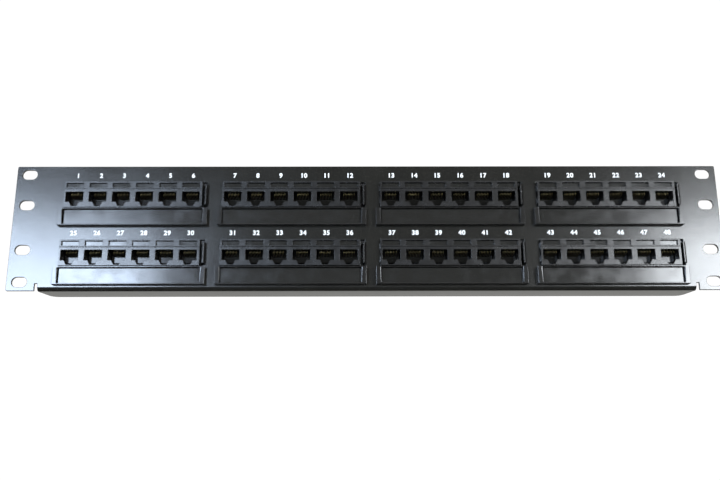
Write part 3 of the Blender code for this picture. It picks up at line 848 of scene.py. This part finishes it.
def rail_outline():
    """A punch-down rail seen along Z: pointed teeth, every other one tall, with a slot between them."""
    root = IDC_BASE_BACK - OVERLAP
    crest, notch = IDC_HIGH.y, IDC_HIGH.y - IDC_SLOT_DEPTH
    low_crest = crest - TOOTH_DROP
    left = IDC_LOW.x + RAIL_INSET
    outline = [(left, root), (left, low_crest)]
    for slot in range(IDC_SLOTS):
        x = idc_slot_x(slot)
        before = crest if slot % 2 == 0 else low_crest
        after = low_crest if slot % 2 == 0 else crest
        outline += [
            (x - TOOTH_REACH, before),
            (x - IDC_SLOT_HALF, low_crest - TOOTH_SLOPE),
            (x - IDC_SLOT_HALF, notch),
            (x + IDC_SLOT_HALF, notch),
            (x + IDC_SLOT_HALF, low_crest - TOOTH_SLOPE),
            (x + TOOTH_REACH, after),
        ]
    right = IDC_HIGH.x - RAIL_INSET
    return outline + [(right, low_crest), (right, root)]


def idc_mesh():
    base = from_prisms(
        [rounded_rectangle((IDC_LOW.x, IDC_LOW.z), (IDC_HIGH.x, IDC_HIGH.z), IDC_CORNER)],
        IDC_LOW.y, IDC_BASE_BACK, "Y",
    )
    adds = [base]
    for z in (-RAIL_Z, RAIL_Z):
        adds.append(from_prisms([rail_outline()], z - RAIL_HALF, z + RAIL_HALF, "Z"))
    return shaped("idc_block", adds, [], IDC_EDGE, segments=1)


def clip_mesh():
    """The plated clips: two tines in each slot with a narrow gap for the wire."""
    foot = IDC_HIGH.y - IDC_SLOT_DEPTH + GAP
    shoulder, top = IDC_HIGH.y - TINE_SHOULDER, IDC_HIGH.y - TINE_TOP
    tine = ((-TINE_IN, foot), (-TINE_IN, shoulder), (-TINE_LIP, top), (TINE_OUT, top), (TINE_OUT, foot))
    bm = bmesh.new()
    for z in (-RAIL_Z, RAIL_Z):
        for slot in range(IDC_SLOTS):
            for side in (-1, 1):
                x = idc_slot_x(slot) + side * IDC_SLOT_HALF
                add_prism(bm, [(x + side * u, v) for u, v in tine], z - TINE_HALF, z + TINE_HALF, "Z")
    return to_mesh(bm, "idc_clips")


def colour_strip_mesh():
    """Thin printed strips on the base beside the rails, in the pair colours."""
    half = IDC_SLOTS * IDC_PITCH / 2
    outer = IDC_HIGH.z - BAND_INSET
    corners = []
    for side in (-1, 1):
        low, high = sorted((side * outer, side * (outer - BAND_WIDTH)))
        corners.append(((-half, IDC_BASE_BACK, low), (half, IDC_BASE_BACK + BAND_THICK, high)))
    return to_mesh(from_boxes(corners), "pair_colour_strips")


def solder_mesh():
    """Solder joints of the block's pins on the board's front face."""
    flatten = Matrix.Diagonal((1, SOLDER_FLATNESS, 1, 1))
    bm = bmesh.new()
    for z in (-RAIL_Z, RAIL_Z):
        for slot in range(IDC_SLOTS):
            place = Matrix.Translation((idc_slot_x(slot), BOARD_LOW.y, z)) @ flatten
            bmesh.ops.create_uvsphere(
                bm, u_segments=10, v_segments=6, radius=SOLDER_RADIUS, matrix=place
            )
    for face in bm.faces:
        face.smooth = True
    return to_mesh(bm, "solder_joints")


def number_mesh(modules):
    """The port numbers over one row of modules, as thin raised ink."""
    bm = bmesh.new()
    for module in modules:
        middle = module_middle(module)
        for port in range(PORTS):
            text = bpy.data.curves.new("number", "FONT")
            text.body = str((module - 1) * PORTS + port + 1)
            text.size = NUMBER_HEIGHT / CAPITAL_SHARE
            text.align_x = "CENTER"
            text.offset = INK_SPREAD / 2
            text.space_character = LETTER_SPACING
            text.extrude = text.bevel_depth = INK_SPREAD / 2
            text.bevel_resolution = 0
            flat = drawn_mesh(text)
            place = Matrix.Translation(
                (
                    middle.x + port_x(port) + NUMBER_SHIFT,
                    PLATE_FRONT - INK_THICK / 2,
                    middle.z + NUMBER_RISE - NUMBER_HEIGHT / 2,
                )
            )
            thin = Matrix.Scale(INK_THICK / (2 * INK_SPREAD), 4, (0.0, 0.0, 1.0))
            flat.transform(place @ Matrix.Rotation(math.pi / 2, 4, "X") @ thin)
            bm.from_mesh(flat)
            bpy.data.meshes.remove(flat)
    bmesh.ops.remove_doubles(bm, verts=bm.verts, dist=WELD)
    return to_mesh(bm, "port_numbers")


def make_modules(plastic, tray, strip, carrier, board, idc, gold, tin, solder, bands):
    """All that repeats with each module; the eight copies share their meshes."""
    fixed = (
        ("jack_block", housing_mesh(), "black_plastic", plastic, "jack_housing"),
        ("port_icons", icon_mesh(), "black_plastic", strip, None),
        ("label_tray", holder_mesh(), "black_plastic", tray, "label_holder"),
        ("label_insert", strip_mesh(), "strip_plastic", strip, "label_strip"),
        ("contact_comb", carrier_mesh(), "carrier_plastic", carrier, "contact_carrier"),
        ("wired_board", board_mesh(), "board_laminate", board, "circuit_board"),
        ("punch_block", idc_mesh(), "idc_plastic", idc, "idc_block"),
        ("contact_wires", wire_mesh(), "carrier_plastic", gold, None),
        ("idc_clips", clip_mesh(), "idc_plastic", tin, None),
        ("pair_colours", colour_strip_mesh(), "idc_plastic", bands, None),
        ("solder_joints", solder_mesh(), "board_laminate", solder, None),
    )
    latch = latch_mesh()
    for number in MODULES:
        middle = module_middle(number)
        for name, data, slot, material, node in fixed:
            replaced = [f"{node}_{number}"] if node else []
            put(f"{name}_{number}", data, middle, "panel", slot, material, *replaced)
        put(
            f"latch_leaf_{number}", latch, middle, f"latch_{number}", "black_plastic", plastic,
            f"latch_arm_{number}",
        )


# ---- Studio -------------------------------------------------------------------------------------

CAMERA_PLACE = (-0.0078, -0.5980, -0.18235)
CAMERA_TURN = (106.2, 0.16, -0.24)  # degrees
CAMERA_LENS = 45.8
FLOOR_Z, FLOOR_HALF = -0.30, 40.0
CARD_PLACE, CARD_HALF = (0.0, -1.6, -0.28), (0.9, 1.9)
ROOM_WHITE = 1.05             # strength of the room that the camera sees
ROOM_LIGHT = (1.0, 0.985, 0.935)
ROOM_DIM = 0.12               # strength of the room's light where it is dim
ROOM_BRIGHT = (
    # axis, where along it the light starts to rise and is at its full strength, and that strength
    ("Y", 0.40, 0.72, 0.60),
    ("Z", 0.60, 0.85, 0.95),
)
SOFTBOXES = (
    # name, place, what it faces, size, power in watts, colour
    ("window_left", (-1.030, -1.945, 0.16), (0, 0, 0.16), (0.86, 0.90), 44.0, (0.66, 0.79, 0.98)),
    ("window_right", (1.240, -1.820, 0.16), (0, 0, 0.16), (0.84, 0.90), 38.0, (0.90, 0.95, 1.0)),
    ("overhead", (0, 0.9, 1.1), (0, 0.75, -0.3), (1.8, 1.2), 4.0, (1.0, 0.98, 0.92)),
)


def add_camera():
    data = bpy.data.cameras.new("camera")
    data.sensor_width = 36.0
    data.lens = CAMERA_LENS
    data.clip_start = 0.01
    camera = bpy.data.objects.new("camera", data)
    camera.location = CAMERA_PLACE
    camera.rotation_euler = [math.radians(a) for a in CAMERA_TURN]
    bpy.context.scene.collection.objects.link(camera)
    bpy.context.scene.camera = camera


def add_softbox(name, place, target, size, power, colour):
    data = bpy.data.lights.new(name, "AREA")
    data.shape = "RECTANGLE"
    data.size, data.size_y = size
    data.energy = power
    data.color = colour
    light = bpy.data.objects.new(name, data)
    light.location = place
    light.rotation_euler = (Vector(target) - Vector(place)).to_track_quat("-Z", "Y").to_euler()
    light.visible_camera = False
    bpy.context.scene.collection.objects.link(light)


def add_world():
    """A white room for the camera.

    As light, the room is bright above and behind the panel and dim elsewhere.
    """
    world = bpy.data.worlds.new("studio")
    bpy.context.scene.world = world
    world.use_nodes = True
    nodes, links = world.node_tree.nodes, world.node_tree.links
    light = nodes["Background"]
    light.inputs["Color"].default_value = (*ROOM_LIGHT, 1.0)
    seen = nodes.new("ShaderNodeBackground")
    seen.inputs["Color"].default_value = (1.0, 1.0, 1.0, 1.0)
    seen.inputs["Strength"].default_value = ROOM_WHITE
    direction = nodes.new("ShaderNodeTexCoord")
    split = nodes.new("ShaderNodeSeparateXYZ")
    brighter = nodes.new("ShaderNodeMath")
    brighter.operation = "MAXIMUM"
    links.new(direction.outputs["Generated"], split.inputs[0])
    for i, (axis, start, end, strength) in enumerate(ROOM_BRIGHT):
        span = nodes.new("ShaderNodeMapRange")
        set_range(span, start, end, ROOM_DIM, strength)
        links.new(split.outputs[axis], span.inputs["Value"])
        links.new(span.outputs["Result"], brighter.inputs[i])
    mix = nodes.new("ShaderNodeMixShader")
    path = nodes.new("ShaderNodeLightPath")
    links.new(brighter.outputs[0], light.inputs["Strength"])
    links.new(path.outputs["Is Camera Ray"], mix.inputs[0])
    links.new(light.outputs[0], mix.inputs[1])
    links.new(seen.outputs[0], mix.inputs[2])
    links.new(mix.outputs[0], nodes["World Output"].inputs["Surface"])


def add_floor():
    bm = bmesh.new()
    bmesh.ops.create_grid(bm, x_segments=1, y_segments=1, size=FLOOR_HALF)
    floor = bpy.data.objects.new("floor", to_mesh(bm, "floor"))
    floor.location.z = FLOOR_Z
    paper = Surface("floor_paper", (0.86, 0.86, 0.85), 0.7)
    paper.set_roughness(paper.spread(paper.noise(8.0), 0.62, 0.78))
    floor.data.materials.append(paper.material)
    bpy.context.scene.collection.objects.link(floor)


def add_card():
    """A dark card that lies in front of the panel and shows only in its gloss."""
    bm = bmesh.new()
    bmesh.ops.create_grid(bm, x_segments=1, y_segments=1, size=1.0)
    card = bpy.data.objects.new("dark_card", to_mesh(bm, "dark_card"))
    card.scale = (*CARD_HALF, 1.0)
    card.location = CARD_PLACE
    felt = Surface("dark_felt", (0.02, 0.02, 0.02), 0.9)
    felt.set_roughness(felt.spread(felt.noise(40.0), 0.8, 0.95))
    card.data.materials.append(felt.material)
    card.visible_camera = card.visible_diffuse = card.visible_shadow = False
    bpy.context.scene.collection.objects.link(card)


def main():
    add_camera()
    add_world()
    add_floor()
    for softbox in SOFTBOXES:
        add_softbox(*softbox)
    add_card()
    bpy.context.scene.view_settings.view_transform = "Standard"

    make_plate(coated_steel())
    make_modules(
        plastic=moulded_plastic("black_plastic", (0.0065, 0.0060, 0.0058), 0.25, grain=0.000005),
        tray=moulded_plastic("tray_plastic", (0.0085, 0.0080, 0.0074), 0.17, grain=0.000003),
        strip=strip_plastic(),
        carrier=moulded_plastic(
            "carrier_plastic", (0.0050, 0.0047, 0.0038), 0.13, grain=0.000002, gloss=False
        ),
        board=board_laminate(),
        idc=moulded_plastic("idc_plastic", (0.78, 0.78, 0.74), 0.42, grain=0.000006),
        # painted shade: the gilt wires' colour is much darker than gold, standing in for the shade
        # inside the jacks
        gold=metal("gilt_wire", (0.26, 0.21, 0.10), 0.33),
        tin=metal("tin_plate", (0.70, 0.70, 0.68), 0.30),
        solder=metal("solder", (0.62, 0.62, 0.63), 0.34),
        bands=colour_bands(),
    )
    ink = printing_ink()
    for name, modules in (("upper", MODULES[:ROW_MODULES]), ("lower", MODULES[ROW_MODULES:])):
        put(f"port_numbers_{name}", number_mesh(modules), (0, 0, 0), "panel", "coated_steel", ink)


main()
